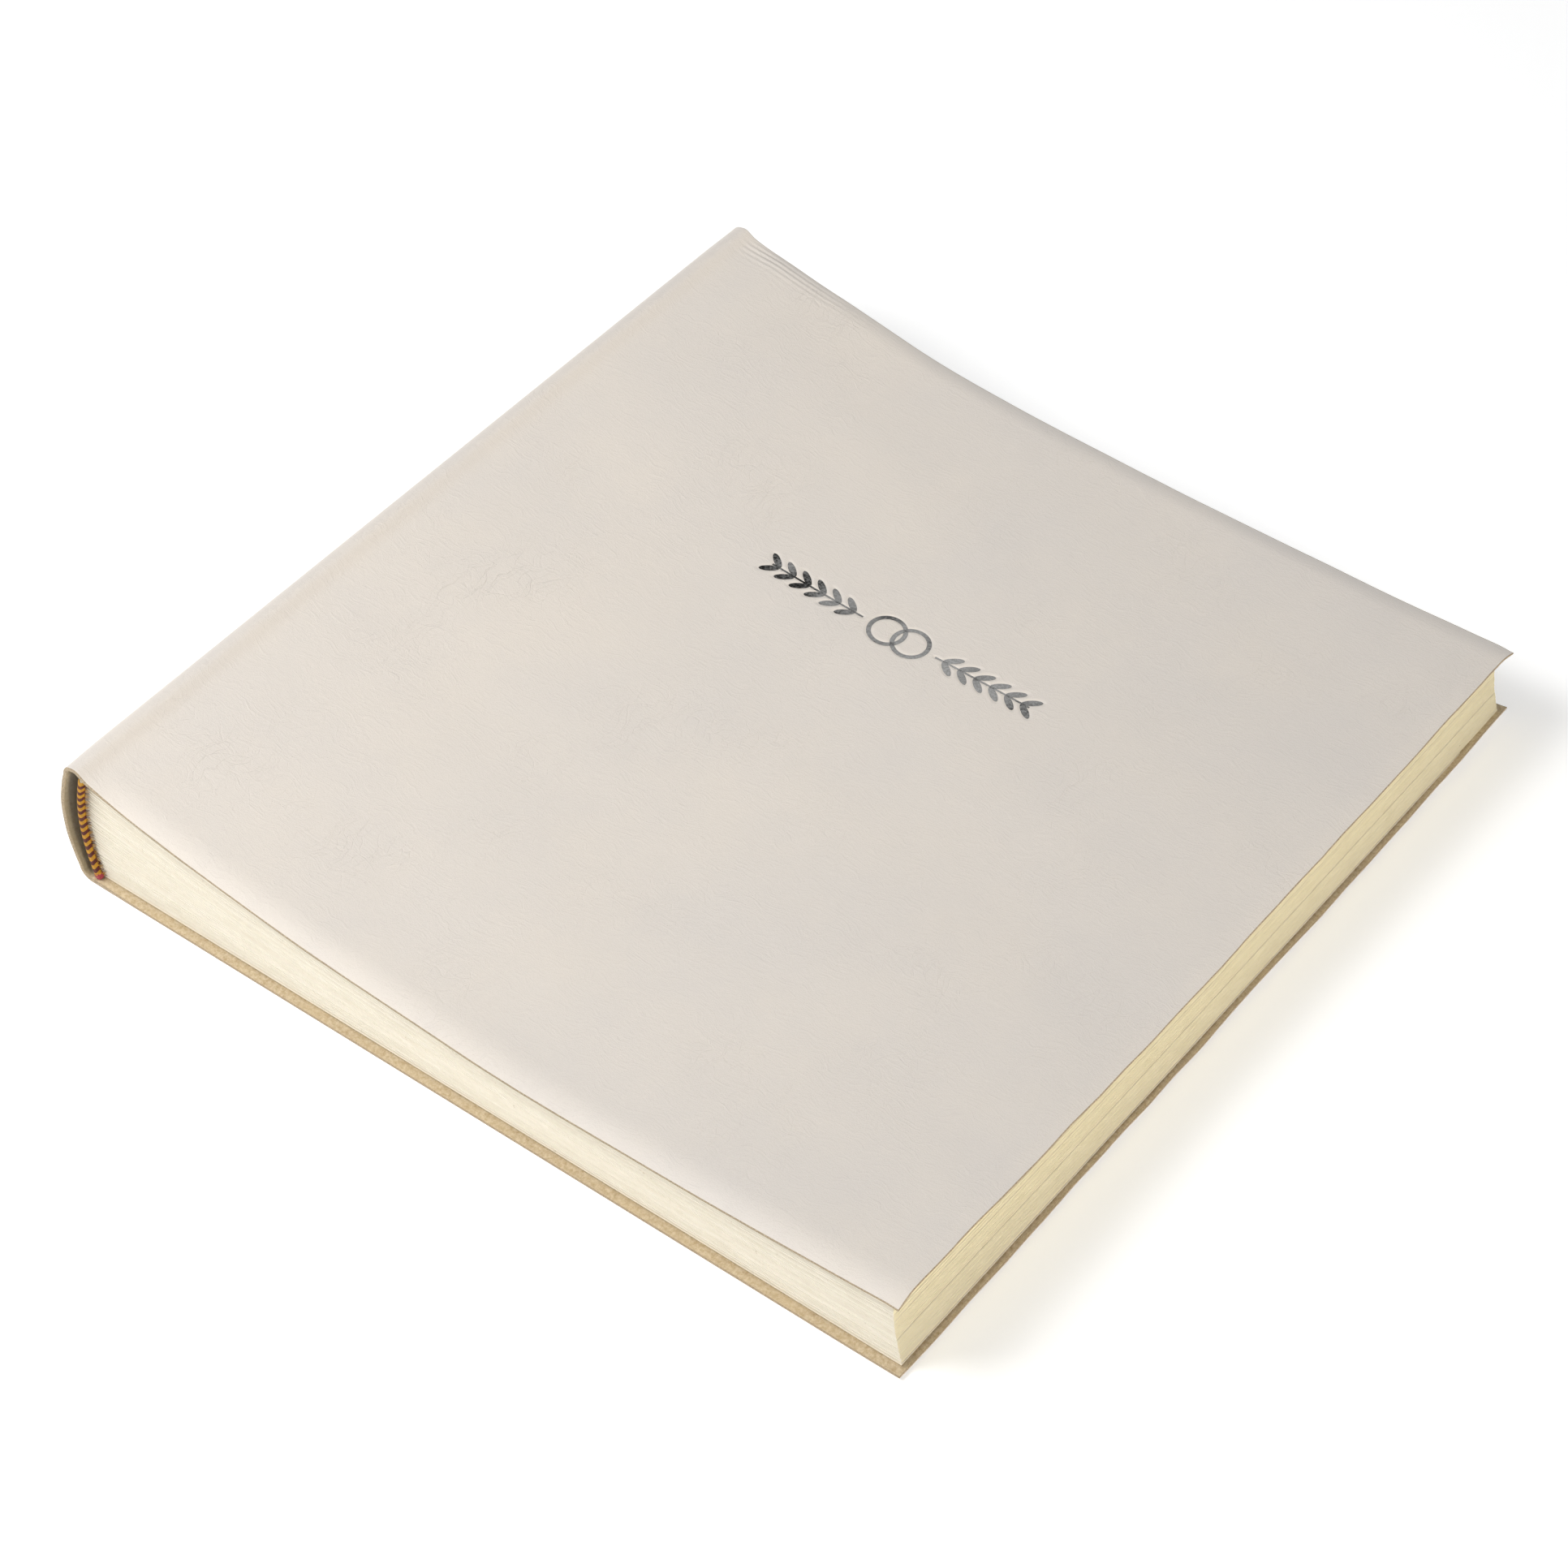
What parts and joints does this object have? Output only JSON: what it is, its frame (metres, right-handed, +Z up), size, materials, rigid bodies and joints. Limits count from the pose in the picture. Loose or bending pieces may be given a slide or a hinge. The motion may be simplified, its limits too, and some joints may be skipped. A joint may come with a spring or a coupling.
{
  "type": "wedding guest book",
  "caption": "Closed wedding guest book with a limp soft leather cover, rounded spine, a block of sewn sections, two-colour headbands and a foil-stamped ornament.",
  "frame": {"origin": "middle of the closed book's footprint, on the table under its back cover", "axes": "+X from the spine to the fore edge, +Y from the tail edge to the head edge, +Z up through the closed book"},
  "size_m": [0.29, 0.3, 0.0452],
  "materials": {
    "cover_leather": "soft full-grain nappa, natural ivory, raw cut edges",
    "page_paper": "uncoated ivory writing paper",
    "endpaper": "uncoated ivory endpaper",
    "kraft_lining": "brown kraft",
    "mull_cloth": "open-weave cotton mull",
    "linen_tape": "woven linen tape",
    "linen_thread": "waxed linen thread",
    "cotton_core": "twisted cotton cord",
    "headband_silk": "silk thread in gold and maroon",
    "stamping_foil": "dark silver hot-stamped foil"
  },
  "bodies": {
    "book_block": {"spine_leather": "cover_leather", "spine_liner": "kraft_lining", "spine_mull": "mull_cloth", "sewing_tapes": "linen_tape", "kettle_stitches": "linen_thread", "headband_core_head": "cotton_core", "headband_core_tail": "cotton_core", "headband_silk_head": "headband_silk", "headband_silk_tail": "headband_silk", "front_flyleaf_stub": "endpaper", "back_flyleaf_stub": "endpaper", "section_01_fold": "page_paper", "section_02_fold": "page_paper", "section_03_fold": "page_paper", "section_04_fold": "page_paper", "section_05": "page_paper", "section_06": "page_paper", "section_07": "page_paper", "section_08": "page_paper", "section_09": "page_paper", "section_10": "page_paper"},
    "front_cover": {"front_cover_leather": "cover_leather", "front_pastedown": "endpaper", "foil_ornament": "stamping_foil"},
    "front_flyleaf": {"front_flyleaf": "endpaper"},
    "section_01": {"section_01_leaves": "page_paper"},
    "section_02": {"section_02_leaves": "page_paper"},
    "section_03": {"section_03_leaves": "page_paper"},
    "section_04": {"section_04_leaves": "page_paper"},
    "back_cover": {"back_cover_leather": "cover_leather", "back_pastedown": "endpaper"},
    "back_flyleaf": {"back_flyleaf": "endpaper"}
  },
  "joints": [
    {"name": "front_cover_hinge", "type": "hinge", "parent": "book_block", "child": "front_cover", "pos_m": [-0.1357, 0, 0.0452], "axis": [0, -1, 0], "range_deg": [0, 178]},
    {"name": "front_flyleaf_turn", "type": "hinge", "parent": "book_block", "child": "front_flyleaf", "pos_m": [-0.1287, 0, 0.0445], "axis": [0, -1, 0], "range_deg": [0, 174.9]},
    {"name": "section_01_turn", "type": "hinge", "parent": "book_block", "child": "section_01", "pos_m": [-0.1287, 0, 0.0445], "axis": [0, -1, 0], "range_deg": [0, 171.4]},
    {"name": "section_02_turn", "type": "hinge", "parent": "book_block", "child": "section_02", "pos_m": [-0.1287, 0, 0.0445], "axis": [0, -1, 0], "range_deg": [0, 166.9]},
    {"name": "section_03_turn", "type": "hinge", "parent": "book_block", "child": "section_03", "pos_m": [-0.1287, 0, 0.0445], "axis": [0, -1, 0], "range_deg": [0, 162.5]},
    {"name": "section_04_turn", "type": "hinge", "parent": "book_block", "child": "section_04", "pos_m": [-0.1287, 0, 0.0445], "axis": [0, -1, 0], "range_deg": [0, 158]},
    {"name": "back_cover_hinge", "type": "hinge", "parent": "book_block", "child": "back_cover", "pos_m": [-0.1357, 0, -0.0003], "axis": [0, 1, 0], "range_deg": [0, 178]},
    {"name": "back_flyleaf_turn", "type": "hinge", "parent": "book_block", "child": "back_flyleaf", "pos_m": [-0.1287, 0, -0.002], "axis": [0, 1, 0], "range_deg": [0, 173.2]}
  ],
  "couplings": [
    {"joint": "front_flyleaf_turn", "follows": "front_cover_hinge", "ratio": 0.98},
    {"joint": "section_01_turn", "follows": "front_cover_hinge", "ratio": 0.96},
    {"joint": "section_02_turn", "follows": "front_cover_hinge", "ratio": 0.935},
    {"joint": "section_03_turn", "follows": "front_cover_hinge", "ratio": 0.91},
    {"joint": "section_04_turn", "follows": "front_cover_hinge", "ratio": 0.885},
    {"joint": "back_flyleaf_turn", "follows": "back_cover_hinge", "ratio": 0.97}
  ]
}
